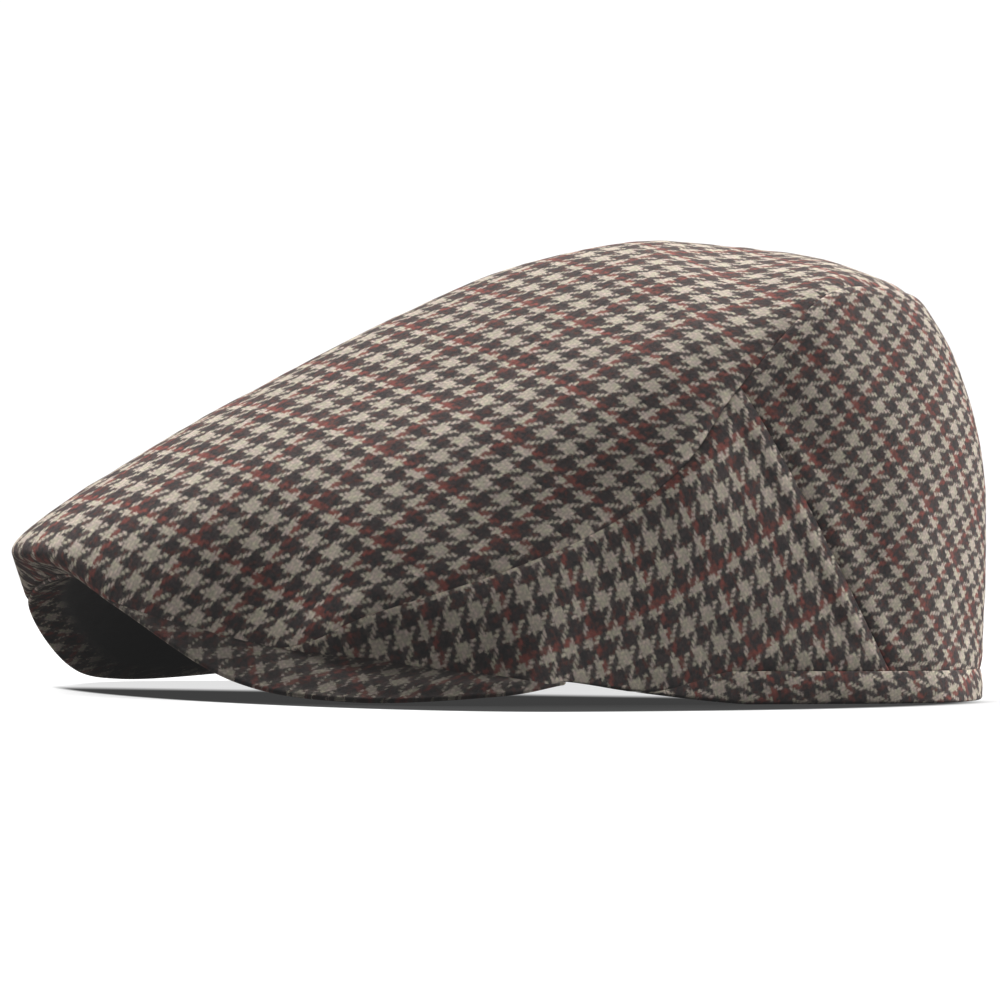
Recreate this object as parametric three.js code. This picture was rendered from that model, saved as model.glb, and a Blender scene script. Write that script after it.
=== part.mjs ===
import * as THREE from "three";

// Flat cap of checked wool cloth, resting on its rim. Millimetres, +Z up.
// The peak points to -Y and the wearer's left is +X. The tables give the left half, and the right half is its
// mirror image.

// Driving dimensions: the cloth's thickness with its backing, the clearance between neighbouring pieces,
// the crown's clearance over the peak, and the height of the hem band
const CLOTH = 2;
const GAP = 0.36;
const PEAK_LIFT = 0.5;
const BAND_HEIGHT = 8.5;

// Steepest slope at which the top panel may leave its middle line
const STEEPEST_SPINE = 1.2;

// The peak thins to this share of its thickness at its front edge, over this share of its depth
const PEAK_EDGE = 0.5;
const PEAK_TAPER = 0.25;

// Powers of the wall's swelling towards the seam and towards the rim: it is fullest a third of the way down
const SWELL_ABOVE = 0.7;
const SWELL_BELOW = 1.3;

// Grid steps: rows of a panel for each tabled section, and columns across each panel
const STEPS_PER_SECTION = 4;
const TOP_COLUMNS = 16;
const SIDE_COLUMNS = 8;
const BACK_COLUMNS = 10;
const PEAK_COLUMNS = 6;
const BAND_COLUMNS = 2;

// The peak's underside, from the middle of the brow to the left end: its front edge, its edge at the
// forehead, its thickness, and how far in from the front edge the crown sits on it, as a share of its depth.
// Below zero the crown laps over the front edge, by the given share at most.
const CROWN_LAP = 0.02;
const PEAK = [
  { outer: [0, -126, 29.5], inner: [0, -88, 42], thick: 3, crown: -0.02 },
  { outer: [35, -125, 22], inner: [30, -84, 36], thick: 3, crown: 0 },
  { outer: [61, -105, 5], inner: [55, -70, 23], thick: 3, crown: 0.33 },
  { outer: [82, -82, 0.4], inner: [72, -55, 13], thick: 3, crown: 0.55 },
  { outer: [91, -47, 2], inner: [81, -38, 8.5], thick: 2.6, crown: 0.4 },
  { outer: [89, -27, 5], inner: [85, -25, 6], thick: 1.6, crown: -0.1 },
];

// The crown is tabled in sections from the brow (0) to the middle of the back (10). The side panel's tip is
// at section 2, the peak ends at section 5, the back seam is at section 7, and the hem band rises from
// nothing behind the peak's end to its full height at section 6.
const TIP = 2;
const PEAK_END = 5;
const BAND_START = 5.4;
const BAND_FULL = 6;
const BACK_SEAM = 7;
const LAST = 10;

// Blunt ends of the side panel and of the hem band, and half of the gap at the back seam, in sections
const SIDE_BLUNT = 0.1;
const BAND_BLUNT = 0.1;
const BACK_SEAM_GAP = 0.004;

// Lengths over which the thickness of the cloth turns and its seam gap opens behind the tip, in sections
const TURN = 1;
const OPENING = 0.2;

// Lower rim on the surface that the cap rests on, sections 6 to 10
const RIM = [
  { x: 87, y: 27, z: 0 },
  { x: 84, y: 76, z: 0 },
  { x: 74, y: 102, z: 0 },
  { x: 47, y: 124, z: 0 },
  { x: 0, y: 135, z: 0 },
];

// Seam round the top panel, sections 3 to 10
const SEAM = [
  { x: 77, y: -74, z: 22 },
  { x: 82, y: -38, z: 34 },
  { x: 82, y: -10, z: 46 },
  { x: 80, y: 12, z: 62 },
  { x: 73, y: 31, z: 82 },
  { x: 61, y: 65, z: 109 },
  { x: 42, y: 102, z: 112 },
  { x: 0, y: 118, z: 110 },
];

// Middle line of the top panel, sections 1 to 9
const SPINE = [
  { y: -138.3, z: 38.5 },
  { y: -101, z: 65 },
  { y: -69, z: 83 },
  { y: -30, z: 103 },
  { y: 1, z: 117 },
  { y: 35, z: 125.5 },
  { y: 60, z: 126.5 },
  { y: 85, z: 125 },
  { y: 102, z: 118 },
];

// How the cloth fills out between those lines, sections 0 to 10: tent is the part of the top panel's fall that
// is an even slope from the middle to the seam, roll is the power that rounds the rest of it at the shoulder,
// and bulge is how far the wall below the seam swells outwards
const SWELL = [
  { tent: 0, roll: 3, bulge: 0 },
  { tent: 0.1, roll: 3.5, bulge: 0 },
  { tent: 0.35, roll: 5.5, bulge: 0 },
  { tent: 0.5, roll: 6, bulge: 0 },
  { tent: 0.6, roll: 8, bulge: 1 },
  { tent: 0.58, roll: 9, bulge: 1 },
  { tent: 0.55, roll: 9, bulge: 2.5 },
  { tent: 0.62, roll: 8, bulge: 2.5 },
  { tent: 0.66, roll: 5, bulge: 8 },
  { tent: 0.5, roll: 4, bulge: 12.7 },
  { tent: 0.4, roll: 3, bulge: 12.7 },
];

// Half width of the rounded ridge of that slope, as a share of the panel's half width
const RIDGE = 0.2;

// The top panel's nose over the brow is blunt up to the first of these sections and no longer from the second
const NOSE = 0.9;
const NOSE_END = 3;

const vector = ({ x = 0, y, z }) => new THREE.Vector3(x, y, z);
const flip = (p) => new THREE.Vector3(-p.x, p.y, p.z);
const smooth = THREE.MathUtils.smoothstep;

// Curve through the left half's points and their mirror images, closed into a loop, by section number
function loop(half) {
  const right = half.slice(1, -1).reverse().map(flip);
  const curve = new THREE.CatmullRomCurve3([...half, ...right], true, "catmullrom");
  return (r) => curve.getPoint(r / curve.points.length);
}

// Curve across the brow through the left half's points and their mirror images, by section number
function arch(half) {
  const right = half.slice(1).reverse().map(flip);
  const curve = new THREE.CatmullRomCurve3([...right, ...half], false, "catmullrom");
  const end = half.length - 1;
  return (r) => curve.getPoint((r + end) / (2 * end));
}

// Smooth pair of values from two columns of a table, by section number
function pair(rows, first, second) {
  const curve = new THREE.SplineCurve(rows.map((row) => new THREE.Vector2(row[first], row[second])));
  return (r) => curve.getPoint(r / (rows.length - 1));
}

// Rate of change of a point with its parameter, within the parameter's range
const RATE_STEP = 0.01;

function rate(point, at, low, high) {
  const before = Math.max(at - RATE_STEP, low);
  const after = Math.min(at + RATE_STEP, high);
  return point(after).sub(point(before)).divideScalar(after - before);
}

// Peak: a plate ruled between its front edge and its forehead edge
const peakOuter = arch(PEAK.map((row) => new THREE.Vector3(...row.outer)));
const peakInner = arch(PEAK.map((row) => new THREE.Vector3(...row.inner)));
const peakBuild = pair(PEAK, "thick", "crown");

function peakUnder(r, share) {
  return peakOuter(r).lerp(peakInner(r), share);
}

function peakRuling(r) {
  return peakInner(r).sub(peakOuter(r));
}

function peakNormal(r, share) {
  const along = rate((s) => peakUnder(s, share), r, -PEAK_END, PEAK_END);
  return along.cross(peakRuling(r)).normalize();
}

function peakThickness(r, share) {
  const taper = PEAK_EDGE + (1 - PEAK_EDGE) * smooth(share, 0, PEAK_TAPER);
  return peakBuild(Math.abs(r)).x * taper;
}

function peakTop(r, share, lift = 0) {
  const height = peakThickness(r, share) + lift;
  return peakUnder(r, share).addScaledVector(peakNormal(r, share), height);
}

// Share of the peak's depth in front of the crown's edge
const bareShare = (r) => Math.max(peakBuild(r).y, -CROWN_LAP);

// Direction along the peak's upper face, from the crown's edge towards the forehead
function peakInward(r) {
  const share = bareShare(r);
  const deeper = share + CLOTH / peakRuling(r).length();
  return peakTop(r, deeper).sub(peakTop(r, share)).normalize();
}

// Crown's lower edge: on the peak as far as section 5, then the rim
const onPeak = (r) => peakTop(r, bareShare(r), PEAK_LIFT);
const crownOnPeak = PEAK.map((_, r) => onPeak(r));
const rim = loop([...crownOnPeak, ...RIM.map(vector)]);

function edge(r) {
  if (r <= PEAK_END) {
    return onPeak(r);
  }
  const p = rim(r);
  p.z = Math.max(p.z, 0);
  return p;
}

function outward(r) {
  const along = rate(edge, r, 0, LAST);
  return new THREE.Vector3(along.y, -along.x, 0).normalize();
}

// Seam round the top panel: it leaves the crown's lower edge at the side panel's tip
const seamLoop = loop([...crownOnPeak.slice(0, TIP + 1), ...SEAM.map(vector)]);
const seam = (r) => (r <= TIP ? edge(r) : seamLoop(r));

const spineCurve = new THREE.CatmullRomCurve3(
  [edge(0), ...SPINE.map(vector), seam(LAST)], false, "catmullrom",
);
const spine = (r) => spineCurve.getPoint(r / LAST);
const filling = pair(SWELL, "tent", "roll");
const swelling = pair(SWELL, "bulge", "bulge");

// Share of the top panel's fall that is reached at a share of its half width
const slant = (part) => (Math.hypot(part, RIDGE) - RIDGE) / (Math.hypot(1, RIDGE) - RIDGE);

function drop(r, part) {
  const { x: tent, y: roll } = filling(r);
  return tent * slant(part) + (1 - tent) * part ** roll;
}

// Top panel: from the spine (share 0) to the seam (share 1 on the left, -1 on the right), leaving the spine
// at the spine's own slope
function topPoint(r, share, border = seam(r)) {
  const middle = r === LAST ? border.clone() : spine(r);
  const fall = border.clone().sub(middle);
  const lean = rate(spine, r, 0, LAST);
  const full = smooth(r, NOSE, NOSE_END);
  const slope = full * THREE.MathUtils.clamp(lean.z / lean.y, -STEEPEST_SPINE, STEEPEST_SPINE);
  const part = Math.abs(share);
  const rise = slope * fall.y;
  const sweep = part ** (2 - full);
  const height = rise * sweep + (fall.z - rise) * drop(r, part);
  return new THREE.Vector3(fall.x * share, middle.y + fall.y * sweep, middle.z + height);
}

const FULLEST = SWELL_ABOVE / (SWELL_ABOVE + SWELL_BELOW);
const fullness = (share) => share ** SWELL_ABOVE * (1 - share) ** SWELL_BELOW;

// Wall of the side and back panels: from the seam (share 0) to the lower edge (share 1), swelling in between
function wallPoint(r, share, border = seam(r)) {
  const amount = swelling(r).x * fullness(share) / fullness(FULLEST);
  return border.clone().lerp(edge(r), share).addScaledVector(outward(r), amount);
}

function normalOf(point, r, share, low, high) {
  const across = rate((s) => point(r, s), share, low, high);
  const along = rate((s) => point(s, share), r, 0, LAST);
  return across.cross(along).normalize();
}

// The top panel's rows close to a point at both ends, so its normal there is taken a little way in
const POLE = 0.1;
const awayFromPoles = (r) => THREE.MathUtils.clamp(r, POLE, LAST - POLE);
const topNormal = (r, share) => normalOf(topPoint, awayFromPoles(r), share, -1, 1);
const wallNormal = (r, share) => normalOf(wallPoint, r, share, 0, 1);

// Direction in which the cloth's thickness runs along the seam, the same for both panels that meet there.
// On the peak it follows the peak's own surface.
function seamInward(r) {
  if (r <= TIP) {
    return peakInward(r);
  }
  const inward = topNormal(r, 1).add(wallNormal(r, 0)).normalize().negate();
  return peakInward(Math.min(r, PEAK_END)).lerp(inward, smooth(r, TIP, TIP + TURN)).normalize();
}

// Direction of the thickness along the lower edge: along the peak's surface, and level on the rim
function edgeInward(r) {
  const level = outward(r).negate();
  return peakInward(Math.min(r, PEAK_END)).lerp(level, smooth(r, PEAK_END, BAND_START)).normalize();
}

// Half of the gap at the seam, from the seam towards the top panel
function seamClearance(r) {
  const along = rate(seam, r, TIP, LAST);
  const width = (GAP / 2) * smooth(r, TIP, TIP + OPENING);
  return along.cross(seamInward(r)).normalize().multiplyScalar(width);
}

// Share of the wall at which the hem band starts
function bandShare(r) {
  const height = BAND_HEIGHT * smooth(r, BAND_START, BAND_FULL);
  return 1 - height / (seam(r).z - edge(r).z);
}

// Closed shell between an outer and an inner grid of points, with coincident points shared
function shell(outer, inner) {
  const places = new Map();
  const positions = [];
  const index = [];
  const number = (p) => {
    const key = p.toArray().map((v) => v.toFixed(4)).join(" ");
    if (!places.has(key)) {
      places.set(key, places.size);
      positions.push(p.x, p.y, p.z);
    }
    return places.get(key);
  };
  const triangle = (a, b, c) => {
    if (a !== b && b !== c && c !== a) {
      index.push(a, b, c);
    }
  };
  const quad = (a, b, c, d) => {
    triangle(a, b, c);
    triangle(a, c, d);
  };
  const front = outer.map((row) => row.map(number));
  const back = inner.map((row) => row.map(number));
  const rows = front.length - 1;
  const columns = front[0].length - 1;
  for (let i = 0; i < rows; i += 1) {
    for (let j = 0; j < columns; j += 1) {
      quad(front[i][j], front[i][j + 1], front[i + 1][j + 1], front[i + 1][j]);
      quad(back[i][j], back[i + 1][j], back[i + 1][j + 1], back[i][j + 1]);
    }
    quad(front[i][0], front[i + 1][0], back[i + 1][0], back[i][0]);
    quad(front[i + 1][columns], front[i][columns], back[i][columns], back[i + 1][columns]);
  }
  for (let j = 0; j < columns; j += 1) {
    quad(front[0][j + 1], front[0][j], back[0][j], back[0][j + 1]);
    quad(front[rows][j], front[rows][j + 1], back[rows][j + 1], back[rows][j]);
  }
  const geometry = new THREE.BufferGeometry();
  geometry.setAttribute("position", new THREE.Float32BufferAttribute(positions, 3));
  geometry.setIndex(index);
  geometry.computeVertexNormals();
  return geometry;
}

// Section numbers from one to another, stopping at every step of the common grid
function sections(from, to) {
  const list = [from];
  for (let k = Math.floor(from * STEPS_PER_SECTION) + 1; k < to * STEPS_PER_SECTION; k += 1) {
    list.push(k / STEPS_PER_SECTION);
  }
  return [...list, to];
}

function shares(count, from = 0, to = 1) {
  return Array.from({ length: count + 1 }, (_, k) => from + ((to - from) * k) / count);
}

// Shell over the given sections and shares; skin(r, share) gives the outer and inner point of the left half.
// Sections past the last are on the right half.
function panel(rows, columns, skin) {
  const points = rows.map((r) => columns.map((share) => {
    const [outer, inner] = skin(r <= LAST ? r : 2 * LAST - r, share);
    return r <= LAST ? [outer, inner] : [flip(outer), flip(inner)];
  }));
  const grid = (side) => points.map((row) => row.map((both) => both[side]));
  return shell(grid(0), grid(1));
}

// Towards its border and its front point the top panel's thickness turns into the direction along the seam
function topSkin(r, share) {
  const border = r <= TIP ? seam(r) : seam(r).add(seamClearance(r));
  const outer = topPoint(r, share, border);
  const inward = seamInward(r);
  inward.x *= r === 0 || r === LAST ? 0 : Math.sign(share);
  if (Math.abs(share) < 1 && r < LAST) {
    inward.lerp(topNormal(r, share).negate(), smooth(r, 0, TURN)).normalize();
  }
  return [outer, outer.clone().addScaledVector(inward, CLOTH)];
}

// The wall's thickness runs from the seam's direction to the lower edge's
function wallSkin(r, share) {
  const outer = wallPoint(r, share, seam(r).sub(seamClearance(r)));
  const inward = seamInward(r).lerp(edgeInward(r), share).normalize();
  return [outer, outer.clone().addScaledVector(inward, CLOTH)];
}

// Half of the gap between a panel and the hem band, as a share of the wall's height
const bandClearance = (r) => (r > BAND_START ? GAP / 2 / (seam(r).z - edge(r).z) : 0);

function wallPanel(from, to, columns) {
  const skin = (r, part) => wallSkin(r, part * (bandShare(r) - bandClearance(r)));
  return panel(sections(from, to), shares(columns), skin);
}

function bandSkin(r, part) {
  const top = bandShare(r) + bandClearance(r);
  return wallSkin(r, top + (1 - top) * part);
}

function peakSkin(r, share) {
  return [peakTop(r, share), peakUnder(r, share)];
}

const cloth = new THREE.MeshStandardMaterial({ color: 0x6f655c, roughness: 0.95, metalness: 0 });
const peakCloth = new THREE.MeshStandardMaterial({ color: 0x64594f, roughness: 0.95, metalness: 0 });

function piece(name, geometry, material) {
  const mesh = new THREE.Mesh(geometry, material);
  mesh.name = name;
  return mesh;
}

const mirrored = (r) => 2 * LAST - r;
const sideRows = [TIP + SIDE_BLUNT, BACK_SEAM - BACK_SEAM_GAP];
const backRow = BACK_SEAM + BACK_SEAM_GAP;
const bandRow = BAND_START + BAND_BLUNT;

const top = panel(sections(0, LAST), shares(2 * TOP_COLUMNS, -1, 1), topSkin);
const sideLeft = wallPanel(...sideRows, SIDE_COLUMNS);
const sideRight = wallPanel(...sideRows.map(mirrored).reverse(), SIDE_COLUMNS);
const back = wallPanel(backRow, mirrored(backRow), BACK_COLUMNS);
const peak = panel(sections(-PEAK_END, PEAK_END).reverse(), shares(PEAK_COLUMNS), peakSkin);
const band = panel(sections(bandRow, mirrored(bandRow)), shares(BAND_COLUMNS), bandSkin);

const cap = new THREE.Group();
cap.add(piece("top_panel", top, cloth));
cap.add(piece("side_panel_left", sideLeft, cloth));
cap.add(piece("side_panel_right", sideRight, cloth));
cap.add(piece("back_panel", back, cloth));
cap.add(piece("peak", peak, peakCloth));
cap.add(piece("back_band", band, cloth));

export default cap;
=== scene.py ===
# %% [markdown]
# # A flat cap of checked wool
#
# This lesson dresses the plain solids of a flat cap: a full top panel drawn down over a stiff bent peak, two
# side panels, a rounded back panel and a narrow hem band. A cap could be sculpted by hand or blown up with a
# cloth simulation, but its cloth is already held in shape by its seams, so every piece here is a formula of
# two parameters on a grid. Neighbouring pieces then share their seams exactly.

# %% Load the frame
import math
import bpy
import bmesh
import numpy as np
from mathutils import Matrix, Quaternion, Vector


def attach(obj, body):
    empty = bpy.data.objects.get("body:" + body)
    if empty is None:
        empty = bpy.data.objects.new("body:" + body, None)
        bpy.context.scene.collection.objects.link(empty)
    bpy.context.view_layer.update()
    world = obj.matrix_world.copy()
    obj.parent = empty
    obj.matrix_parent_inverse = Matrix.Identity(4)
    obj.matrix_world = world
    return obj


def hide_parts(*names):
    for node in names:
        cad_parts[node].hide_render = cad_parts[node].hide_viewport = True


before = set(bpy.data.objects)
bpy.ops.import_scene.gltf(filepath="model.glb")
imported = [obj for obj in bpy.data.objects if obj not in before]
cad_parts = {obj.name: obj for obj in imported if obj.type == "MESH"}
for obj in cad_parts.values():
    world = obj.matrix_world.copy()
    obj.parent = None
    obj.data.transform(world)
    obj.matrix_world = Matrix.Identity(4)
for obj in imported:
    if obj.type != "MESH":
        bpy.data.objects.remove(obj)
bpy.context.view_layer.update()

print("solids:", sorted(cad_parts))

# %% [markdown]
# ## The lines that the cap hangs on
#
# A cap maker works from a few lines: the edge of the peak, the rim, the seam round the top and the middle
# line of the crown. They could be drawn as Bezier curves, but short tables of points, in millimetres, are
# easier to check against a ruler. Only the left half is tabled. The crown's sections are numbered from the
# brow (0) to the middle of the back (10): the side panel's tip is at 2, the peak ends at 5, and the seam
# between side and back panel is at 7.

# %% Driving sizes and lines
MM = 0.001
CLOTH = 2 * MM
PEAK_LIFT = -0.3 * MM
BAND_HEIGHT = 8.5 * MM
STEEPEST_SPINE = 1.2
PEAK_EDGE, PEAK_TAPER = 0.5, 0.25
SWELL_ABOVE, SWELL_BELOW = 0.7, 1.3
TIP, PEAK_END, BAND_START, BAND_FULL, BACK_SEAM, LAST = 2, 5, 5.4, 6, 7, 10
MIRROR = np.array([-1.0, 1.0, 1.0])

PEAK_FRONT = MM * np.array([[0, -126, 29.5], [35, -125, 22], [61, -105, 5],
                            [82, -82, 0.4], [91, -47, 2], [89, -27, 5]])
PEAK_FOREHEAD = MM * np.array([[0, -88, 42], [30, -84, 36], [55, -70, 23],
                               [72, -55, 13], [81, -38, 8.5], [85, -25, 6]])
PEAK_THICK = MM * np.array([3, 3, 3, 3, 2.6, 1.6])
PEAK_CROWN = np.array([-0.02, 0, 0.33, 0.55, 0.4, -0.1])
CROWN_LAP = 0.02
RIM = MM * np.array([[87, 27, 0], [84, 76, 0], [74, 102, 0], [47, 124, 0], [0, 135, 0]])
SEAM = MM * np.array([[77, -74, 22], [82, -38, 34], [82, -10, 46], [80, 12, 62],
                      [73, 31, 82], [61, 65, 109], [42, 102, 112], [0, 118, 110]])
SPINE = MM * np.array([[0, -138.3, 38.5], [0, -101, 65], [0, -69, 83], [0, -30, 103], [0, 1, 117],
                       [0, 35, 125.5], [0, 60, 126.5], [0, 85, 125], [0, 102, 118]])
ROLL = np.array([3, 3.5, 5.5, 6, 8, 9, 9, 8, 5, 4, 3])
TENT = np.array([0, 0.1, 0.35, 0.5, 0.6, 0.58, 0.55, 0.62, 0.66, 0.5, 0.4])
RIDGE = 0.2
NOSE, NOSE_END = 0.9, 3
BULGE = MM * np.array([0, 0, 0, 0, 1, 1, 2.5, 2.5, 8, 12.7, 12.7])
print("peak of", len(PEAK_FRONT), "sections, crown of", LAST + 1)

# %% [markdown]
# ## Smooth curves through the tables
#
# Cloth under tension runs in smooth curves through the points where it is held. Blender's own curves could
# do this, but a Catmull-Rom spline is one line of arithmetic, passes through every tabled point, and works on
# whole arrays at once.

# %% Curves by section number
RATE_STEP = 0.01


def unit(v):
    """Each vector divided by its length."""
    return v / np.maximum(np.linalg.norm(v, axis=-1, keepdims=True), 1e-12)


def smooth(x, low, high):
    """Smooth step: 0 below low, 1 above high, three t squared minus two t cubed in between."""
    t = np.clip((x - low) / (high - low), 0, 1)
    return t * t * (3 - 2 * t)


def through(knots, at):
    """Catmull-Rom spline: a cubic between knots, whose slope at a knot is half the step across it."""
    i = np.clip(np.floor(at).astype(int), 0, len(knots) - 4)
    f = (at - i).reshape(at.shape + (1,) * (knots.ndim - 1))
    a, b, c, d = knots[i], knots[i + 1], knots[i + 2], knots[i + 3]
    return b + 0.5 * f * (c - a + f * (2 * a - 5 * b + 4 * c - d + f * (3 * (b - c) + d - a)))


def ring(half):
    """Closed curve through the left half's points and their mirror images."""
    whole = np.concatenate([half, half[-2:0:-1] * MIRROR])
    knots = np.concatenate([whole[-1:], whole, whole[:2]])
    return lambda r: through(knots, np.mod(r, len(whole)))


def line(points):
    """Open curve, carried straight on past its ends."""
    knots = np.concatenate([2 * points[:1] - points[1:2], points, 2 * points[-1:] - points[-2:-1]])
    return lambda r: through(knots, r)


def arch(half):
    """Open curve from the right end to the left end, 0 in the middle."""
    both = line(np.concatenate([half[:0:-1] * MIRROR, half]))
    return lambda r: both(r + len(half) - 1)


def column(values):
    """Smooth value through one column of a table, level at both ends."""
    knots = np.concatenate([values[:1], values, values[-1:]])
    return lambda r: through(knots, r)


def rate(f, at, low, high):
    """Change of a point for each unit of its parameter, by a difference of two near points."""
    a, b = np.maximum(at - RATE_STEP, low), np.minimum(at + RATE_STEP, high)
    return (f(b) - f(a)) / (b - a)[..., None]


peak_front, peak_forehead = arch(PEAK_FRONT), arch(PEAK_FOREHEAD)
peak_thick, peak_crown = column(PEAK_THICK), column(PEAK_CROWN)
roll, tent, bulge = column(ROLL), column(TENT), column(BULGE)
print("peak spans", np.round(peak_front(np.array([-PEAK_END, PEAK_END]))[:, 0] / MM, 1), "mm")

# %% [markdown]
# ## The peak as a bent plate
#
# A real peak is a board cut as a crescent and bent in one direction only, so straight lines run across it
# from its front edge to the forehead. A ruled surface has just those lines, and it is simpler than bending a
# flat mesh with a modifier.

# %% Surfaces of the peak


def peak_under(r, s):
    """Underside: the straight line from the front edge (s 0) to the forehead edge (s 1)."""
    front = peak_front(r)
    return front + (peak_forehead(r) - front) * s[..., None]


def peak_normal(r, s):
    """Upward normal: the cross product of the direction along the edge and the straight line across."""
    along = rate(lambda q: peak_under(q, s), r, -PEAK_END, PEAK_END)
    return unit(np.cross(along, peak_forehead(r) - peak_front(r)))


def peak_height(r, s):
    """Thickness, thinning smoothly towards the front edge."""
    return peak_thick(np.abs(r)) * (PEAK_EDGE + (1 - PEAK_EDGE) * smooth(s, 0, PEAK_TAPER))


def peak_top(r, s, lift=0.0):
    """Upper face: the underside moved along the normal by the thickness."""
    return peak_under(r, s) + peak_normal(r, s) * (peak_height(r, s) + lift)[..., None]


def bare_share(r):
    """Share of the peak's depth in front of the crown's edge, less than none where the crown laps over."""
    return np.maximum(peak_crown(r), -CROWN_LAP)


def on_peak(r):
    """Where the crown's edge sits on the peak."""
    return peak_top(r, bare_share(r), PEAK_LIFT)


def peak_inward(r):
    """Direction on the upper face from the crown's edge towards the forehead."""
    near = bare_share(r)
    deeper = near + CLOTH / np.linalg.norm(peak_forehead(r) - peak_front(r), axis=-1)
    return unit(peak_top(r, deeper) - peak_top(r, near))


crown_on_peak = on_peak(np.arange(PEAK_END + 1.0))
print("crown meets the peak at", np.round(crown_on_peak[-1] / MM, 1), "mm behind its end")

# %% [markdown]
# ## The crown between its seams
#
# The top panel leaves the middle line at that line's own slope and rolls over to the seam. The wall hangs
# from the seam to the rim and swells a little in between, fullest a third of the way down. A sculpted mesh
# could do the same, but two formulas keep both panels on the same seam whatever the grid.

# %% Surfaces of the crown
rim_ring = ring(np.concatenate([crown_on_peak, RIM]))
seam_ring = ring(np.concatenate([crown_on_peak[:TIP + 1], SEAM]))
spine_line = line(np.concatenate([crown_on_peak[:1], SPINE, SEAM[-1:]]))


def crown_edge(r):
    """Lower edge of the crown: on the peak as far as its end, then the rim, never below the ground."""
    rim = rim_ring(r)
    rim[..., 2] = np.maximum(rim[..., 2], 0)
    return np.where((r <= PEAK_END)[..., None], on_peak(np.minimum(r, PEAK_END)), rim)


def outward(r):
    """Level direction square to the lower edge."""
    along = rate(crown_edge, r, 0, LAST)
    return unit(np.stack([along[..., 1], -along[..., 0], np.zeros_like(r)], -1))


def seam_line(r):
    """Border of the top panel: the crown's lower edge as far as the side panel's tip, then the seam."""
    return np.where((r <= TIP)[..., None], crown_edge(np.minimum(r, TIP)), seam_ring(r))


def drop(r, part):
    """Fall of the top panel: a tent with a round ridge, blended with a power that rounds the shoulder."""
    slant = (np.sqrt(part ** 2 + RIDGE ** 2) - RIDGE) / (math.sqrt(1 + RIDGE ** 2) - RIDGE)
    return tent(r) * slant + (1 - tent(r)) * np.maximum(part, 1e-9) ** roll(r)


def top_surface(r, s):
    """Top panel: share s of the way from spine to seam, swept back by a power of it and dropped by its part
    of the fall."""
    middle = spine_line(r)
    fall = seam_line(r) - middle
    lean = rate(spine_line, r, 0, LAST)
    full = smooth(r, NOSE, NOSE_END)
    slope = full * np.clip(lean[..., 2] / lean[..., 1], -STEEPEST_SPINE, STEEPEST_SPINE)
    part = np.abs(s)
    rise = slope * fall[..., 1]
    sweep = part ** (2 - full)
    height = rise * sweep + (fall[..., 2] - rise) * drop(r, part)
    return np.stack([fall[..., 0] * s, middle[..., 1] + fall[..., 1] * sweep, middle[..., 2] + height], -1)


def fullness(s):
    """Swelling of the wall: a power of the share above times a power of the share below."""
    return np.maximum(s, 0) ** SWELL_ABOVE * np.maximum(1 - s, 0) ** SWELL_BELOW


FULLEST = fullness(np.array(SWELL_ABOVE / (SWELL_ABOVE + SWELL_BELOW)))


def wall_surface(r, s):
    """Wall: the straight line from the seam (s 0) to the lower edge (s 1), moved outwards by its swelling."""
    top = seam_line(r)
    swelling = bulge(r) * fullness(s) / FULLEST
    return top + (crown_edge(r) - top) * s[..., None] + outward(r) * swelling[..., None]


def band_share(r):
    """Share of the wall at which the hem band starts."""
    height = BAND_HEIGHT * smooth(r, BAND_START, BAND_FULL)
    return 1 - height / np.maximum(seam_line(r)[..., 2] - crown_edge(r)[..., 2], MM)


print("crown height", round(float(spine_line(np.array([7.0]))[0, 2] / MM), 1), "mm")

# %% [markdown]
# ## Which way the cloth is thick
#
# Cloth has two faces. Solidify could add the inner one, but at a seam it would push two panels through each
# other. Here both panels that meet at a seam take their thickness in the same shared direction, so they touch
# along a whole face and no light gets through.

# %% Directions into the cloth
POLE = 0.1
TURN = 1.0
SEAM_TURN = 0.9


def surface_normal(surface, r, s, low, high):
    """Outward normal: the cross product of the directions across and along the panel."""
    across = rate(lambda q: surface(r, q), s, low, high)
    along = rate(lambda q: surface(q, s), r, 0, LAST)
    return unit(np.cross(across, along))


def top_normal(r, s):
    """Normal of the top panel, taken a little way in from the points where its rows close."""
    return surface_normal(top_surface, np.clip(r, POLE, LAST - POLE), s, -1, 1)


def seam_inward(r):
    """Shared direction at the seam: against the mean of both normals, and along the peak in front."""
    ahead = np.maximum(r, TIP)
    wall = surface_normal(wall_surface, ahead, np.zeros_like(r), 0, 1)
    inward = -unit(top_normal(ahead, np.ones_like(r)) + wall)
    share = smooth(r, TIP, TIP + TURN)[..., None]
    return unit(peak_inward(np.minimum(r, PEAK_END)) * (1 - share) + inward * share)


def edge_inward(r):
    """Direction at the lower edge: along the peak's surface, and level on the rim."""
    share = smooth(r, PEAK_END, BAND_START)[..., None]
    return unit(peak_inward(np.minimum(r, PEAK_END)) * (1 - share) - outward(r) * share)


def top_inward(r, s):
    """Thickness of the top panel: against its normal, turning to the seam's direction at its border."""
    shared = seam_inward(r)
    shared[..., 0] *= np.where((r <= 0) | (r >= LAST), 0, np.sign(s))
    share = (smooth(r, 0, TURN) * (1 - smooth(np.abs(s), SEAM_TURN, 1)))[..., None]
    return unit(shared * (1 - share) - top_normal(r, s) * share)


def wall_inward(r, s):
    """Thickness of the wall: from the seam's direction to the lower edge's."""
    return unit(seam_inward(r) * (1 - s[..., None]) + edge_inward(r) * s[..., None])


def both_sides(surface, r, s):
    """A wall function for sections 0 to 20, of which those past the last are the mirrored right half."""
    past = r > LAST
    return surface(np.where(past, 2 * LAST - r, r), s) * np.where(past[..., None], MIRROR, 1.0)


print("back seam leans in by", np.round(seam_inward(np.array([9.0]))[0], 2))

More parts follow.
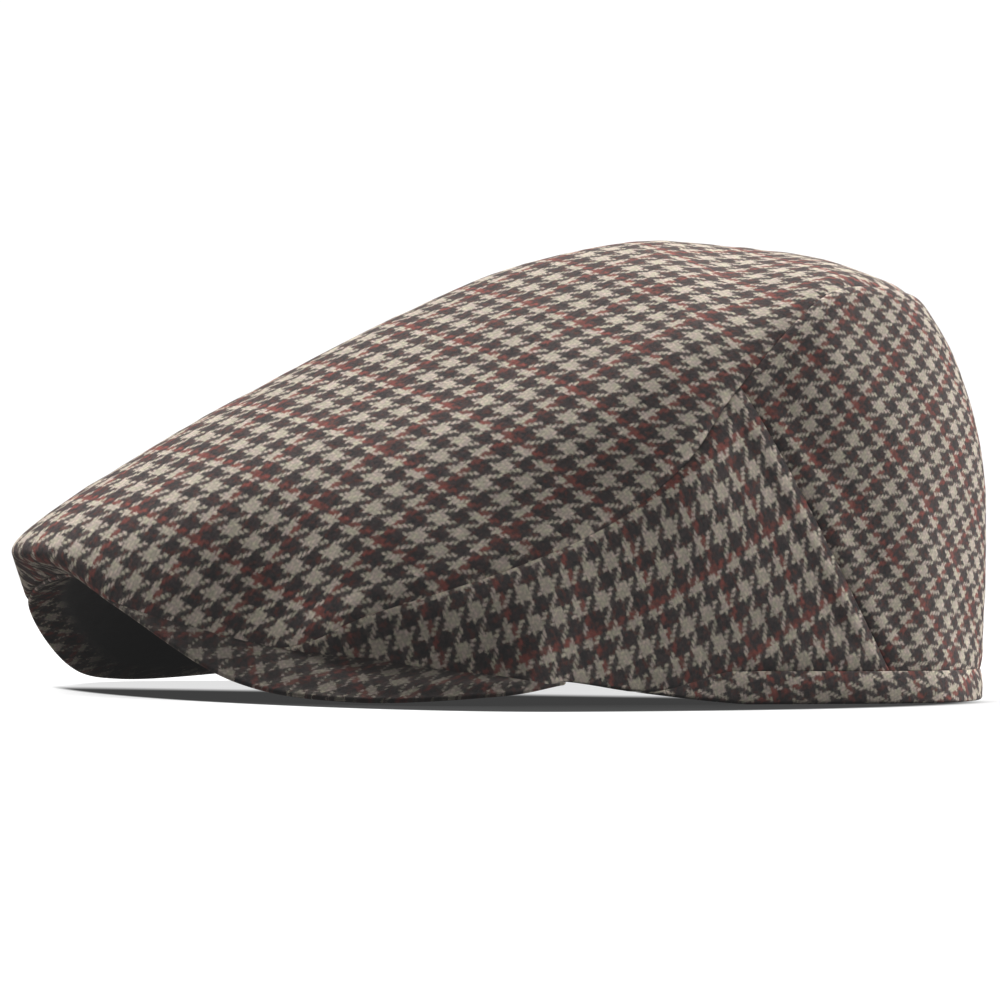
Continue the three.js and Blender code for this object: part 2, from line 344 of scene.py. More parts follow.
# %% [markdown]
# ## Seams, folds and soft waves
#
# Where two panels are sewn, the cloth rolls down into the seam, and the turned-in edges lift it a little on
# both sides. A free edge is folded over, so it is round. These are low forms of a millimetre or so: a bevel
# would not follow the curved borders, so each point is simply moved into the cloth by an amount that depends
# on its distance from the border.

# %% Low relief of the cloth
SEAM_DEPTH, SEAM_WIDTH = 0.4 * MM, 2 * MM
ALLOWANCE_LIFT, ALLOWANCE_WIDTH = 0.35 * MM, 7 * MM
WAVES_IN_SUM = 9
LONG_WAVE, LONG_HEIGHT, SHORT_WAVE, SHORT_HEIGHT = 45 * MM, 0.4 * MM, 9 * MM, 0.08 * MM
FOLD_SHARE = 0.46
CALM_WIDTH = 12 * MM


def distance_to(points, curve):
    """Distance from each grid point to a line of points, by the two stretches that meet nearest to it."""
    flat = points.reshape(-1, 3)
    square = (flat ** 2).sum(1)[:, None] + (curve ** 2).sum(1) - 2 * flat @ curve.T
    near = np.argmin(square, axis=1)
    best = np.full(len(flat), np.inf)
    for step in (-1, 1):
        start = curve[near]
        stretch = curve[np.clip(near + step, 0, len(curve) - 1)] - start
        size = np.maximum((stretch ** 2).sum(1), 1e-18)
        t = np.clip(((flat - start) * stretch).sum(1) / size, 0, 1)
        best = np.minimum(best, np.linalg.norm(flat - start - stretch * t[:, None], axis=1))
    return best.reshape(points.shape[:2])


def roll_off(distance, radius):
    """Quarter circle: 1 at the border, falling to 0 at one radius from it."""
    t = np.clip(distance / radius, 0, 1)
    return 1 - np.sqrt(1 - (1 - t) ** 2)


def seam_relief(distance):
    """Depth beside a seam: a roll into it, less the lift of the turned-in edges beneath the cloth."""
    lift = ALLOWANCE_LIFT * (1 - smooth(distance, 0.6 * ALLOWANCE_WIDTH, 1.3 * ALLOWANCE_WIDTH))
    return SEAM_DEPTH * roll_off(distance, SEAM_WIDTH) - lift * smooth(distance, 0, 2 * SEAM_WIDTH)


def soft_waves(points, wavelength, seed):
    """Unevenness of cloth: a sum of sine waves in random directions, about 1 high."""
    draw = np.random.default_rng(seed)
    direction = unit(draw.normal(size=(WAVES_IN_SUM, 3)))
    number = 2 * np.pi / wavelength * draw.uniform(0.7, 1.4, WAVES_IN_SUM)
    phase = draw.uniform(0, 2 * np.pi, WAVES_IN_SUM)
    return np.sin((points @ direction.T) * number + phase).sum(-1) / math.sqrt(WAVES_IN_SUM)


def unevenness(points):
    """Long waves of half a millimetre and short ones of a tenth."""
    return LONG_HEIGHT * soft_waves(points, LONG_WAVE, 3) + SHORT_HEIGHT * soft_waves(points, SHORT_WAVE, 8)


def crowd(count, low, high, gathered=0.86):
    """Even steps, drawn together towards both ends so that narrow rolls have enough rows."""
    t = np.linspace(0, 1, count)
    return low + (high - low) * (t - gathered * np.sin(2 * np.pi * t) / (2 * np.pi))


print("a seam is", SEAM_DEPTH / MM, "mm deep")

# %% [markdown]
# ## Laying the panels flat
#
# Blender's unwrap could give one, but its result turns and scales at will. A net of springs is predictable:
# it starts from lengths along the grid, and each spring then pulls its two ends until it has the length that
# it has on the cap.

# %% Flat patterns
SWEEPS = 1500
SHORTEST_SPRING = 0.01 * MM
DIAGONAL_SPRING = 0.7
EASE = 0.6


def flatten(points):
    """Lay a grid flat: springs along rows, columns and diagonals, each moved a share of its error."""
    rows, columns = points.shape[:2]
    middle = columns // 2
    across = np.linalg.norm(np.diff(points, axis=1), axis=-1)
    across = np.concatenate([np.zeros((rows, 1)), np.cumsum(across, 1)], 1)
    along = np.linalg.norm(np.diff(points[:, middle], axis=0), axis=-1)
    along = np.concatenate([[0], np.cumsum(along)])
    flat = np.stack([across - across[:, middle:middle + 1], np.repeat(along[:, None], columns, 1)], -1)
    springs = []
    for down, right, pull in ((0, 1, 1), (1, 0, 1), (1, 1, DIAGONAL_SPRING), (1, -1, DIAGONAL_SPRING)):
        a = (slice(0, rows - down), slice(max(0, -right), columns - max(0, right)))
        b = (slice(down, rows), slice(max(0, right), columns + min(0, right)))
        rest = np.linalg.norm(points[b] - points[a], axis=-1)
        springs.append((a, b, rest, pull / np.maximum(rest, SHORTEST_SPRING)))
    for _ in range(SWEEPS):
        move, weight = np.zeros_like(flat), np.zeros((rows, columns, 1))
        for a, b, rest, pull in springs:
            step = flat[b] - flat[a]
            size = np.linalg.norm(step, axis=-1) + 1e-12
            change = step * (pull * (size - rest) / size)[..., None]
            move[a] += change
            move[b] -= change
            weight[a] += pull[..., None]
            weight[b] += pull[..., None]
        flat = flat + EASE * move / weight
    return flat


def finer(coarse, rows_at, columns_at):
    """A coarse grid read between its points, by splines along its columns and then along its rows."""
    tall = line(coarse)(rows_at * (len(coarse) - 1))
    wide = line(tall.transpose(1, 0, 2))(columns_at * (coarse.shape[1] - 1))
    return wide.transpose(1, 0, 2)


def flat_pattern(surface, rows, columns, coarse=(49, 31)):
    """Flat places of a fine grid: the surface is laid flat on a coarse grid and read between its points."""
    ends = [np.linspace(rows[0], rows[-1], coarse[0]), np.linspace(columns[0], columns[-1], coarse[1])]
    flat = flatten(surface(*np.meshgrid(*ends, indexing="ij")))
    rows_at = (rows - rows[0]) / (rows[-1] - rows[0])
    columns_at = (columns - columns[0]) / (columns[-1] - columns[0])
    return finer(flat, rows_at, columns_at)


print("springs are pulled", SWEEPS, "times")

# %% [markdown]
# ## The grain of each panel
#
# The cloth is a houndstooth check: eight yarns to a check, four light and four dark, both ways. Each panel is
# cut at its own angle to the yarns and drawn a little out of square over the crown. A plain scale and
# rotation of the flat pattern gives the first, and a bow across the panel the second. The result is a map in
# yarn counts, which the material then weaves.

# %% Yarn counts
YARNS_IN_CHECK = 8
CHECK_ACROSS, CHECK_ALONG = 6.5 * MM, 8.2 * MM


def yarn_counts(flat, centre, turn, across=CHECK_ACROSS, along=CHECK_ALONG, bow=0.0):
    x, y = flat[..., 0] - centre[0] * MM, flat[..., 1] - centre[1] * MM
    first = x * math.cos(turn) + y * math.sin(turn)
    second = y * math.cos(turn) - x * math.sin(turn) - bow / MM * x * x
    return YARNS_IN_CHECK * np.stack([first / across, second / along], -1)


print("check of", CHECK_ACROSS / MM, "x", CHECK_ALONG / MM, "mm")

# %% [markdown]
# ## From grids to meshes
#
# Every piece is a closed shell: an outer grid, an inner grid and a rim strip round their border. Grids go
# into Blender as whole arrays. The yarn counts go into a UV map; attributes hold how much paler the cloth is,
# from rubbing and from painted light, and where painted shade covers it, so the material can follow the
# cloth.

# %% Shells
pieces = {}


def quads(number):
    """Four corners of each cell of a grid of vertex numbers, in order round the cell."""
    corners = [number[:-1, :-1], number[:-1, 1:], number[1:, 1:], number[1:, :-1]]
    return np.stack(corners, -1).reshape(-1, 4)


def shell(name, outer, inner, yarns, rubbed_and_lit, under=None):
    """Closed piece: the outer grid, the inner grid turned round, and a strip along their common border. Under
    holds how much paler the inner face is, from rubbing and painted light, and how far painted shade covers
    it."""
    rows, columns = outer.shape[:2]
    count = rows * columns
    number = np.arange(count).reshape(rows, columns)
    border = np.concatenate([number[0, :-1], number[:-1, -1], number[-1, :0:-1], number[:0:-1, 0]])
    ahead = np.roll(border, -1)
    strip = np.stack([ahead, border, border + count, ahead + count], -1)
    faces = np.concatenate([quads(number), quads(number + count)[:, ::-1], strip])
    mesh = bpy.data.meshes.new(name)
    mesh.from_pydata(np.concatenate([outer, inner]).reshape(-1, 3).tolist(), [], faces.tolist())
    mesh.uv_layers.new(name="yarns").uv.foreach_set(
        "vector", np.concatenate([yarns, yarns]).reshape(-1, 2)[faces.ravel()].astype(np.float32).ravel())
    worn_and_lit, painted_shade = under or (rubbed_and_lit, np.zeros_like(rubbed_and_lit))
    for label, front, back in (("rubbed_and_lit", rubbed_and_lit, worn_and_lit), ("painted_shade", np.zeros_like(painted_shade), painted_shade)):
        mesh.attributes.new(label, "FLOAT", "POINT").data.foreach_set(
            "value", np.concatenate([front, back]).ravel().astype(np.float32))
    build = bmesh.new()
    build.from_mesh(mesh)
    bmesh.ops.remove_doubles(build, verts=build.verts, dist=0.001 * MM)
    build.to_mesh(mesh)
    build.free()
    mesh.polygons.foreach_set("use_smooth", np.ones(len(mesh.polygons), bool))
    piece = bpy.data.objects.new(name, mesh)
    bpy.context.scene.collection.objects.link(piece)
    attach(piece, "root")
    pieces[name] = piece
    print(name, len(mesh.polygons), "faces")
    return piece


print("shells so far:", len(pieces))

# %% [markdown]
# ## The top panel
#
# One full piece of cloth covers the crown from the front edge of the peak to the back. In front it overhangs
# that edge as a round nose, so its first rows turn under. Its rows close to a point at the brow and at the
# back, and its border is a fold where it sits on the peak and a seam elsewhere. A cage with subdivision could
# be pulled into this shape, but one formula follows the seams exactly.

# %% Top panel
FOLD_START, FOLD_END = 1.8, 2.3
LINE_POINTS = 500
TOP_ROWS, TOP_COLUMNS, SHORT_OF_POLE = 200, 141, 0.02
TOP_GRAIN = dict(centre=(0, 122), turn=0.13, across=6.57 * MM, along=8.44 * MM, bow=0.0015)


def fold_relief(distance):
    """Depth of a folded edge, half the cloth at the border and round: both faces move by this much."""
    return FOLD_SHARE * CLOTH * roll_off(distance, 0.5 * CLOTH)


def top_panel():
    """Grid of the top surface: the outer face sunk along its borders, the inner face one cloth further in."""
    rows, columns = crowd(TOP_ROWS, 0, LAST), crowd(TOP_COLUMNS, -1, 1)
    r, s = np.meshgrid(rows, columns, indexing="ij")
    skin, inward = top_surface(r, s), top_inward(r, s)
    half = seam_line(np.linspace(0, LAST, LINE_POINTS))
    away = distance_to(skin, np.concatenate([half[::-1] * MIRROR, half]))
    sewn = smooth(r, FOLD_START, FOLD_END)
    fold = fold_relief(away) * (1 - sewn)
    sink = seam_relief(away) * sewn + fold
    calm = smooth(away, 0, CALM_WIDTH)
    outer = skin + inward * (sink + unevenness(skin) * calm)[..., None]
    inner = skin + inward * (CLOTH - fold)[..., None]
    flat = flat_pattern(top_surface, crowd(TOP_ROWS, SHORT_OF_POLE, LAST - SHORT_OF_POLE), columns)
    yarns = yarn_counts(flat, **TOP_GRAIN)
    piece = shell("top_panel_cloth", outer, inner, yarns, np.exp(-away / MM) * sewn)
    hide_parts("top_panel")
    return piece, flat


top_cloth, top_flat = top_panel()
print("cut flat:", np.round((top_flat.max((0, 1)) - top_flat.min((0, 1))) / MM), "mm")

# %% [markdown]
# ## Side panels, back panel and hem band
#
# The wall is four pieces of cloth on one surface: two long side panels that taper to a tip over the peak, one
# back panel that goes round the head, and a narrow band turned up along the hem. They share one function, and
# differ only in the sections and shares that they cover.

# %% Wall pieces
SIDE_FRONT = TIP + 0.06
BAND_TIP = BAND_START + 0.03


def wall_piece(name, node, first, last, counts, grain, band=False):
    """A stretch of the wall between two sections, above the hem band or on it."""
    def share(r, part):
        """Share of the whole wall, from the share of this piece."""
        half = np.where(r > LAST, 2 * LAST - r, r)
        low = band_share(half)
        return low + (1 - low) * part if band else low * part

    def place(r, part):
        """Point of this piece on the wall's surface."""
        return both_sides(wall_surface, r, share(r, part))

    rows, columns = crowd(counts[0], first, last), crowd(counts[1], 0, 1)
    r, part = np.meshgrid(rows, columns, indexing="ij")
    half = np.where(r > LAST, 2 * LAST - r, r)
    skin, inward = place(r, part), both_sides(wall_inward, r, share(r, part))
    along, across = np.linspace(first, last, LINE_POINTS), np.linspace(0, 1, LINE_POINTS // 4)
    upper = distance_to(skin, place(along, np.zeros_like(along)))
    lower = distance_to(skin, place(along, np.ones_like(along)))
    ends = np.minimum(distance_to(skin, place(np.full_like(across, first), across)),
                      distance_to(skin, place(np.full_like(across, last), across)))
    free = np.ones_like(r) if band else 1 - smooth(half, BAND_START, BAND_START + 0.2)
    fold = fold_relief(lower) * free
    beside = np.minimum(upper, np.where(free > 0.5, upper, lower))
    sewn = np.minimum(beside, upper if band else ends)
    sink = seam_relief(sewn) + fold
    calm = smooth(np.minimum(sewn, lower), 0, CALM_WIDTH)
    outer = skin + inward * (sink + unevenness(skin) * calm)[..., None]
    inner = skin + inward * (CLOTH - fold)[..., None]
    flat = flat_pattern(place, rows, columns, (61, 5) if band else (61, 25))
    piece = shell(name, outer, inner, yarn_counts(flat, **grain), np.exp(-sewn / MM))
    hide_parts(node)
    return piece, flat


SIDE_GRAIN = dict(centre=(-5, 103), turn=math.pi / 2 + 0.2)
BACK_GRAIN = dict(centre=(-10, 40), turn=0.47, across=5.7 * MM, along=7.1 * MM)
BAND_GRAIN = dict(centre=(0, 0), turn=0.3, across=6.2 * MM, along=7.4 * MM)
wall = {
    "side_panel_left": wall_piece("side_panel_left_cloth", "side_panel_left", SIDE_FRONT, BACK_SEAM,
                                  (110, 61), SIDE_GRAIN),
    "side_panel_right": wall_piece("side_panel_right_cloth", "side_panel_right", 2 * LAST - BACK_SEAM,
                                   2 * LAST - SIDE_FRONT, (110, 61), SIDE_GRAIN),
    "back_panel": wall_piece("back_panel_cloth", "back_panel", BACK_SEAM, 2 * LAST - BACK_SEAM,
                             (170, 71), BACK_GRAIN),
    "back_band": wall_piece("back_band_cloth", "back_band", BAND_TIP, 2 * LAST - BAND_TIP,
                            (240, 17), BAND_GRAIN, band=True),
}

# %% [markdown]
# ## The peak in its cover
#
# The board of the peak is covered in the same wool, cut on the bias so that it stretches round the bend. Its
# front edge is the cloth folded round the board, so the upper and lower faces meet in a half round. On the
# underside a band of a centimetre along the edge has painted light, and the rest is painted plain dark grey,
# a painted shade under the peak. Both are attributes that fade from one to the other.

# %% Peak
# Painted light and shade on the peak's underside: paler in a band along the edge, plain dark grey past it
UNDER_SHADE_START, UNDER_SHADE_FULL = 7 * MM, 12 * MM
UNDER_EDGE_PAINTED_LIGHT = 7
PEAK_GRAIN = dict(centre=(0, 0), turn=math.pi / 4, across=6.2 * MM, along=7.2 * MM)
END_WIDTH, MIDDLE_SHARE = 20 * MM, 0.3


def peak_piece():
    """Upper and lower face of the bent board, drawn together by a half round at the edges."""
    rows, columns = crowd(260, PEAK_END, -PEAK_END, 0.5), crowd(45, 0, 1)
    r, s = np.meshgrid(rows, columns, indexing="ij")
    top, under = peak_top(r, s), peak_under(r, s)
    normal, height = peak_normal(r, s), peak_height(r, s)
    depth = np.linalg.norm(peak_forehead(r) - peak_front(r), axis=-1)
    away = np.minimum(s * depth, (PEAK_END - np.abs(r)) * END_WIDTH)
    fold = (FOLD_SHARE * height * roll_off(away, 0.5 * height))[..., None]
    rubbed_and_lit = np.exp(-away / (0.8 * MM))
    middle = np.linalg.norm(np.diff(peak_top(rows, np.full_like(rows, MIDDLE_SHARE)), axis=0), axis=-1)
    middle = np.concatenate([[0], np.cumsum(middle)])
    flat = np.stack([np.repeat(middle[:, None], len(columns), 1), -s * depth], -1)
    yarns = yarn_counts(flat, **PEAK_GRAIN)
    # Painted light in the band along the underside's edge, painted shade past it
    lit_band = 1 - smooth(s * depth, UNDER_SHADE_START, UNDER_SHADE_FULL)
    piece = shell("peak_cover", top - normal * fold, under + normal * fold, yarns, rubbed_and_lit,
                  (UNDER_EDGE_PAINTED_LIGHT * lit_band, 1 - lit_band))
    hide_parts("peak")
    return piece


peak_cover = peak_piece()

# %% [markdown]
# ## Sums that become nodes
#
# A weave is arithmetic on yarn counts. Written with nodes by hand it would be a long list of links, so one
# small class wraps a socket and lets Python's operators add the Math nodes.

# %% Wires


class Wire:
    """One output of a node; arithmetic on it adds Math nodes, and node() adds any other kind."""

    def __init__(self, tree, output=None):
        self.tree = tree
        self.output = output

    def node(self, kind, settings=None, inputs=None, output=0):
        """Add a node: its settings first, then the values or links of its sockets."""
        made = self.tree.nodes.new(kind)
        for name, value in (settings or {}).items():
            setattr(made, name, value)
        for socket, value in (inputs or {}).items():
            if isinstance(value, Wire):
                self.tree.links.new(value.output, made.inputs[socket])
            else:
                made.inputs[socket].default_value = value
        return Wire(self.tree, made.outputs[output] if made.outputs else None)

    def also(self, output):
        """Another output of the same node."""
        return Wire(self.tree, self.output.node.outputs[output])

    def math(self, operation, *values):
        """Add a Math node with these values."""
        return self.node("ShaderNodeMath", {"operation": operation}, dict(enumerate(values)))

    def __add__(self, other):
        return self.math("ADD", self, other)

    def __sub__(self, other):
        return self.math("SUBTRACT", self, other)

    def __rsub__(self, other):
        return self.math("SUBTRACT", other, self)

    def __mul__(self, other):
        return self.math("MULTIPLY", self, other)

    def __mod__(self, other):
        return self.math("FLOORED_MODULO", self, other)

    def __pow__(self, other):
        return self.math("POWER", self, other)

    def __lt__(self, other):
        return self.math("LESS_THAN", self, other)

    def __gt__(self, other):
        return self.math("GREATER_THAN", self, other)

    __radd__, __rmul__ = __add__, __mul__

    def blend(self, low, high):
        """A colour between two, by this value."""
        return self.node("ShaderNodeMix", {"data_type": "RGBA"}, {0: self, 6: low, 7: high}, 2)

    def scaled(self, colour):
        """A colour made brighter or darker by this value."""
        return self.node("ShaderNodeVectorMath", {"operation": "SCALE"}, {0: colour, "Scale": self})


print("wires add Math nodes for + - * % ** < and >")

# %% [markdown]
# ## Checked wool
#
# Houndstooth is a two-and-two twill: each yarn passes over two and under two, one step further in every row.
# With four light and four dark yarns in turn, that alone makes the pointed stars, so the material weaves the
# cloth instead of drawing them. In every third check two red yarns take the place of two light ones, both
# ways. The yarns are heathered, hairy and slightly uneven, and loose wisps cloud the check a little. A
# printed image could hold all this, but woven nodes stay sharp at any size.

# %% Wool material
CREAM, PINK_CREAM = (0.7, 0.66, 0.49, 1), (0.76, 0.62, 0.55, 1)
SLATE, PLUM, MAROON = (0.013, 0.017, 0.02, 1), (0.054, 0.036, 0.039, 1), (0.13, 0.036, 0.027, 1)
RED, RED_SHADE = (0.36, 0.072, 0.054, 1), (0.14, 0.042, 0.035, 1)
# The second colour is the plain dark grey of the painted shade on the peak's underside
WISP, PAINTED_SHADE_GREY = (0.24, 0.2, 0.18, 1), (0.3, 0.295, 0.3, 1)
RED_FIRST, RED_LAST = 17.5, 19.5
TWILL_STEP = 4
STRAY, HAIR, RAGGED, WISPS = 2.4, 0.55, 0.8, 0.4
BARE, COVERED, DARK_COVERS = 0.35, 0.7, 0.85
PALER_RUBBED_AND_LIT, YARN_RELIEF = 0.3, 0.3 * MM
# The peak's copy of the wool is darker all over, a painted shade for the shade on the peak below the crown,
# and its light yarns are slimmer
PEAK_PAINTED_SHADE, PEAK_SLIMMER = 0.43, 0.2


def checked_wool(name, brightness, slimmer=0.0):
    """Woven material: the colour of the yarn on top at each place, with painted shade between the yarns.
    Brightness scales all of it, and slimmer narrows the light yarns, so that less of them shows."""
    material = bpy.data.materials.new(name)
    material.use_nodes = True
    tree = material.node_tree
    tree.nodes.clear()
    make = Wire(tree).node

    def spread(value, low, high):
        """A value spread so that low becomes 0 and high becomes 1, cut off past both."""
        return make("ShaderNodeMapRange", inputs={"Value": value, "From Min": low, "From Max": high})

    def weave(counts):
        """Number of the yarn on top and of the one under it, whether the top one is warp, and its height."""
        x = make("ShaderNodeSeparateXYZ", inputs={0: counts})
        y = x.also("Y")
        i, j = x.math("FLOOR", x), x.math("FLOOR", y)
        twill = (i - j) % TWILL_STEP
        warp = twill < TWILL_STEP / 2
        weft = 1 - warp
        across = (x - i) * warp + (y - j) * weft
        along = (1 - twill + (y - j)) * warp * 0.5 + (twill - 2 + (x - i)) * weft * 0.5
        height = (across * math.pi).math("SINE", across * math.pi) ** 0.6
        height = height * (0.45 + 0.55 * along.math("SINE", along * math.pi))
        return i * warp + j * weft, j * warp + i * weft, warp, height

    # The yarns run a little out of line, and each single hair lies beside its yarn
    counts = make("ShaderNodeUVMap", {"uv_map": "yarns"})
    stray = make("ShaderNodeTexNoise", {"noise_dimensions": "2D"},
                 {"Vector": counts, "Scale": 1.5, "Detail": 5.0, "Roughness": 0.85}, "Color")
    hair = make("ShaderNodeTexWhiteNoise", {"noise_dimensions": "2D"}, {"Vector": counts}, "Color")
    moved = {"operation": "MULTIPLY_ADD"}
    counts = make("ShaderNodeVectorMath", moved, {0: stray, 1: (STRAY, STRAY, 0), 2: counts})
    hairy = make("ShaderNodeVectorMath", moved, {0: hair, 1: (HAIR, HAIR, 0), 2: counts})
    _, _, _, ridge = weave(counts)
    yarn, crossing, warp, height = weave(hairy)

    # Heathered colours of the yarns, the one on top and the one that crosses under it
    heather = make("ShaderNodeTexNoise", {"noise_dimensions": "2D"},
                   {"Vector": counts, "Scale": 0.5, "Detail": 3.0, "Roughness": 0.6}, "Color")
    heather = make("ShaderNodeSeparateXYZ", inputs={0: heather})
    first, second, third = spread(heather, 0.35, 0.65), heather.also("Y"), heather.also("Z")
    dark_yarn = spread(second, 0.53, 0.68).blend(first.blend(SLATE, PLUM), MAROON)
    light_yarn, red_yarn = first.blend(CREAM, PINK_CREAM), spread(second, 0.3, 0.7).blend(RED_SHADE, RED)

    def dyed(number):
        """Colour of a yarn by its number, and whether it is a light one."""
        light = (number % YARNS_IN_CHECK) < YARNS_IN_CHECK / 2
        place = number % (3 * YARNS_IN_CHECK)
        red = (place > RED_FIRST) * (place < RED_LAST)
        return red.blend(light.blend(dark_yarn, light_yarn), red_yarn), light * (1 - red)

    over, pale = dyed(yarn)
    under, _ = dyed(crossing)
    slim = make("ShaderNodeMapRange", {"interpolation_type": "SMOOTHSTEP"}, {
        "Value": height + (third - 0.5) * RAGGED, "From Min": BARE + slimmer, "From Max": COVERED + slimmer})
    covers = slim + (1 - slim) * (1 - pale) * DARK_COVERS
    # Painted shade: on the peak's underside, past its lit band, the wool gives way to plain dark grey
    painted_shade = make("ShaderNodeAttribute", {"attribute_name": "painted_shade"}, output="Fac")
    wisps = make("ShaderNodeTexNoise", {"noise_dimensions": "2D"},
                 {"Vector": hairy, "Scale": 1.6, "Detail": 4.0, "Roughness": 0.7})
    wool = (spread(wisps, 0.45, 0.75) * WISPS).blend(covers.blend(under, over), WISP)
    colour = painted_shade.blend(wool, PAINTED_SHADE_GREY)

    # Each yarn is a little lighter or darker at random, with painted shade between the yarns and where one
    # dips under
    own = make("ShaderNodeTexWhiteNoise", {"noise_dimensions": "1D"}, {"W": yarn + warp * 0.37})
    fuzz = make("ShaderNodeTexNoise", {"noise_dimensions": "2D"},
                {"Vector": counts, "Scale": 4.0, "Detail": 2.0})
    # Paler where the cloth is rubbed, and painted light on the band along the peak's underside
    rubbed_and_lit = make("ShaderNodeAttribute", {"attribute_name": "rubbed_and_lit"}, output="Fac")
    shade = (0.7 + 0.3 * height) * (0.75 + 0.25 * covers) * (0.88 + 0.24 * own) * (0.85 + 0.3 * fuzz)
    shade = shade * (1 + PALER_RUBBED_AND_LIT * rubbed_and_lit) * brightness
    bump = make("ShaderNodeBump", inputs={
        "Strength": 0.35, "Distance": YARN_RELIEF, "Height": ridge + fuzz * 0.3})
    cloth = make("ShaderNodeBsdfPrincipled", inputs={
        "Base Color": shade.scaled(colour), "Roughness": 0.9, "Specular IOR Level": 0.15,
        "Sheen Weight": 0.1, "Sheen Roughness": 0.5, "Sheen Tint": (1.0, 0.8, 0.7, 1), "Normal": bump})
    make("ShaderNodeOutputMaterial", inputs={"Surface": cloth})
    return material


crown_wool = checked_wool("crown_wool", 1.0)
# Painted shade: the peak gets a darker copy of the wool
shaded_peak_wool = checked_wool("shaded_peak_wool", PEAK_PAINTED_SHADE, PEAK_SLIMMER)
for piece in pieces.values():
    piece.data.materials.append(shaded_peak_wool if piece is peak_cover else crown_wool)
print("wool on", len(pieces), "pieces")

# %% [markdown]
# ## Floor and light
#
# The cap lies on a plain white table in a bright room. A lamp close by would fade along the cap, so the light
# comes from three wide windows far away: one low behind it, one high on its right and a weak one in front of
# the peak. The table shines a little by itself towards the camera, so that it stays white, and the cap's
# shadow
# on it is painted: an oval worked out from the distance to its middle. A thin haze lifts the blacks.

# %% Studio
AZIMUTH = math.radians(63.8)
FLOOR_HALF = 6.0
# Size and place of the shadow painted on the floor round the cap
SHADE_MIDDLE, SHADE_WIDE, SHADE_FRONT, SHADE_BACK = -45 * MM, 125 * MM, 75 * MM, 190 * MM
SHADE_START, SHADE_FULL, SHADE_SOFT, SHADE_DEPTH = 5 * MM, 35 * MM, 0.03, 0.95
FLOOR_GREY, FLOOR_SEEN, FLOOR_GLOW = 0.12, 0.18, 0.75
HAZE = 0.012


def floor():
    """One white square, with a painted shadow: dark inside an egg-shaped oval on the side towards the camera.
    """
    mesh = bpy.data.meshes.new("floor")
    corners = FLOOR_HALF * np.array([[-1, -1, 0], [1, -1, 0], [1, 1, 0], [-1, 1, 0]])
    mesh.from_pydata(corners.tolist(), [], [[0, 1, 2, 3]])
    plane = bpy.data.objects.new("floor", mesh)
    bpy.context.scene.collection.objects.link(plane)
    material = bpy.data.materials.new("floor_white")
    material.use_nodes = True
    tree = material.node_tree
    tree.nodes.clear()
    make = Wire(tree).node
    x = make("ShaderNodeSeparateXYZ", inputs={0: make("ShaderNodeTexCoord", output="Object")})
    y = x.also("Y")
    # Painted shadow: darker inside the oval, only on the camera's side of the cap
    along = y - SHADE_MIDDLE
    along = along * (1 / SHADE_FRONT + (along > 0) * (1 / SHADE_BACK - 1 / SHADE_FRONT))
    oval = ((x * (1 / SHADE_WIDE)) ** 2 + along ** 2) ** 0.5
    nearer = x * math.sin(AZIMUTH) - y * math.cos(AZIMUTH)
    steps = {"interpolation_type": "SMOOTHSTEP"}
    inside = make("ShaderNodeMapRange", steps, {
        "Value": oval, "From Min": 1 + SHADE_SOFT, "From Max": 1 - SHADE_SOFT})
    towards = make("ShaderNodeMapRange", steps, {
        "Value": nearer, "From Min": SHADE_START, "From Max": SHADE_FULL})
    lit = 1 - SHADE_DEPTH * inside * towards
    camera_ray = make("ShaderNodeLightPath", output="Is Camera Ray")
    paint = make("ShaderNodeBsdfPrincipled", inputs={
        "Base Color": (lit * (FLOOR_GREY + FLOOR_SEEN * camera_ray)).scaled((1, 1, 1)), "Roughness": 0.95,
        "Specular IOR Level": 0.0, "Emission Color": (lit * camera_ray).scaled((1, 1, 1)),
        "Emission Strength": FLOOR_GLOW})
    make("ShaderNodeOutputMaterial", inputs={"Surface": paint})
    mesh.materials.append(material)


def wide_light(name, towards, width, strength):
    """A light so far away that it is even all over, given by the direction towards it and its width."""
    lamp = bpy.data.lights.new(name, "SUN")
    lamp.angle = width
    lamp.energy = strength
    holder = bpy.data.objects.new(name, lamp)
    holder.rotation_euler = Vector(towards).to_track_quat("Z", "Y").to_euler()
    bpy.context.scene.collection.objects.link(holder)


def pale_world(lit, seen):
    """World light: one strength for what it lights, another for what the camera sees directly."""
    world = bpy.data.worlds.new("pale_world")
    world.use_nodes = True
    tree = world.node_tree
    tree.nodes.clear()
    make = Wire(tree).node
    camera_ray = make("ShaderNodeLightPath", output="Is Camera Ray")
    light = make("ShaderNodeBackground", inputs={
        "Color": (1, 1, 1, 1), "Strength": lit + camera_ray * (seen - lit)})
    make("ShaderNodeOutputWorld", inputs={"Surface": light})
    bpy.context.scene.world = world


floor()
wide_light("right_window", (0, 0.9, 0.43), math.radians(35), 5.2)
wide_light("far_window", (-0.5, -0.22, 0.84), math.radians(30), 4.3)
wide_light("front_window", (-0.2, -0.97, 0.12), math.radians(60), 0.9)
pale_world(0.14, 1.05)
view = bpy.context.scene.view_settings
view.view_transform = "Standard"
view.use_curve_mapping = True
view.curve_mapping.black_level = (-HAZE, -HAZE, -HAZE)
view.curve_mapping.update()
print("floor", 2 * FLOOR_HALF, "m wide")

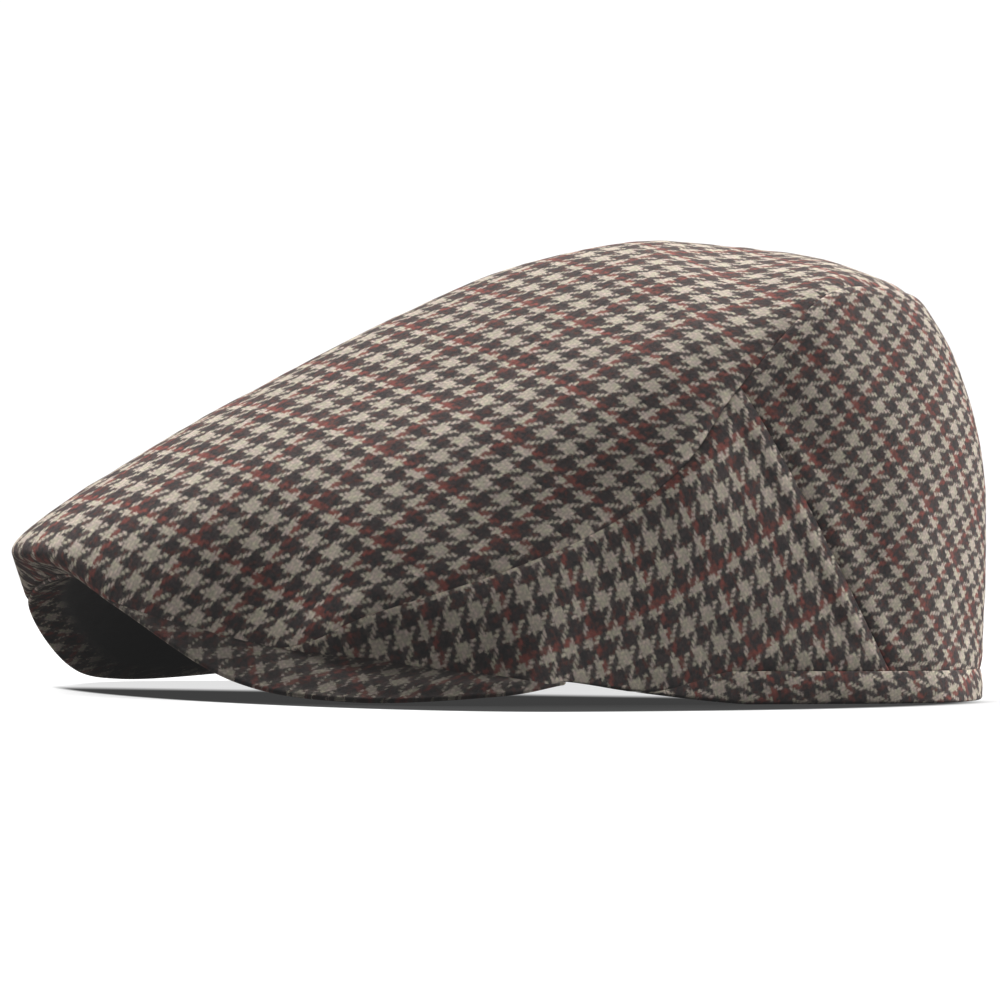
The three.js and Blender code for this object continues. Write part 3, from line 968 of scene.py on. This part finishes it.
# %% [markdown]
# ## Camera
#
# The picture is taken from the cap's front left, with the lens close to the table and turned a little up.
# Distance and height are real sizes, so the perspective is right as well as the framing.

# %% Camera
DISTANCE, EYE_HEIGHT = 906 * MM, 31 * MM
FOCAL_PX, FRAME_PX = 3295, 1000
SENSOR = 36.0
TILT_UP, TURN_LEFT, ROLL_LEFT = math.radians(1.37), math.radians(0.13), math.radians(0.89)


def camera():
    """Place from distance and azimuth, lens from the picture's width in pixels."""
    data = bpy.data.cameras.new("camera")
    data.sensor_width = SENSOR
    data.lens = SENSOR * FOCAL_PX / FRAME_PX
    holder = bpy.data.objects.new("camera", data)
    holder.location = (DISTANCE * math.sin(AZIMUTH), -DISTANCE * math.cos(AZIMUTH), EYE_HEIGHT)
    heading = AZIMUTH + TURN_LEFT
    ahead = Vector((-math.sin(heading), math.cos(heading), math.tan(TILT_UP)))
    holder.rotation_mode = "QUATERNION"
    holder.rotation_quaternion = ahead.to_track_quat("-Z", "Y") @ Quaternion((0, 0, 1), ROLL_LEFT)
    bpy.context.scene.collection.objects.link(holder)
    bpy.context.scene.camera = holder
    return data.lens


print("lens", round(camera(), 1), "mm")

# %% [markdown]
# ## The cut sizes of the cloth
#
# Each panel is a sheet that was cut flat, so its cut size is the box of its flat pattern and its area is that
# of the pattern itself. Both are worked out, and the cut size is printed.

# %% Cloth sheets
ROLLED_IN = MM


def flat_area(flat):
    """Area of a flat grid: half the cross product of each cell's diagonals."""
    a, b = flat[1:, 1:] - flat[:-1, :-1], flat[1:, :-1] - flat[:-1, 1:]
    return float(np.abs(a[..., 0] * b[..., 1] - a[..., 1] * b[..., 0]).sum() / 2)


def declare(piece, flat):
    """Cut size: the box of the flat pattern and the cloth that rolls into the seam at both ends of it."""
    width, length = (flat.max((0, 1)) - flat.min((0, 1)) + 2 * ROLLED_IN).tolist()
    flat_area(flat)
    print(piece.name, "cut from", round(width / MM), "x", round(length / MM), "mm")


declare(top_cloth, top_flat)
for piece, flat in wall.values():
    declare(piece, flat)
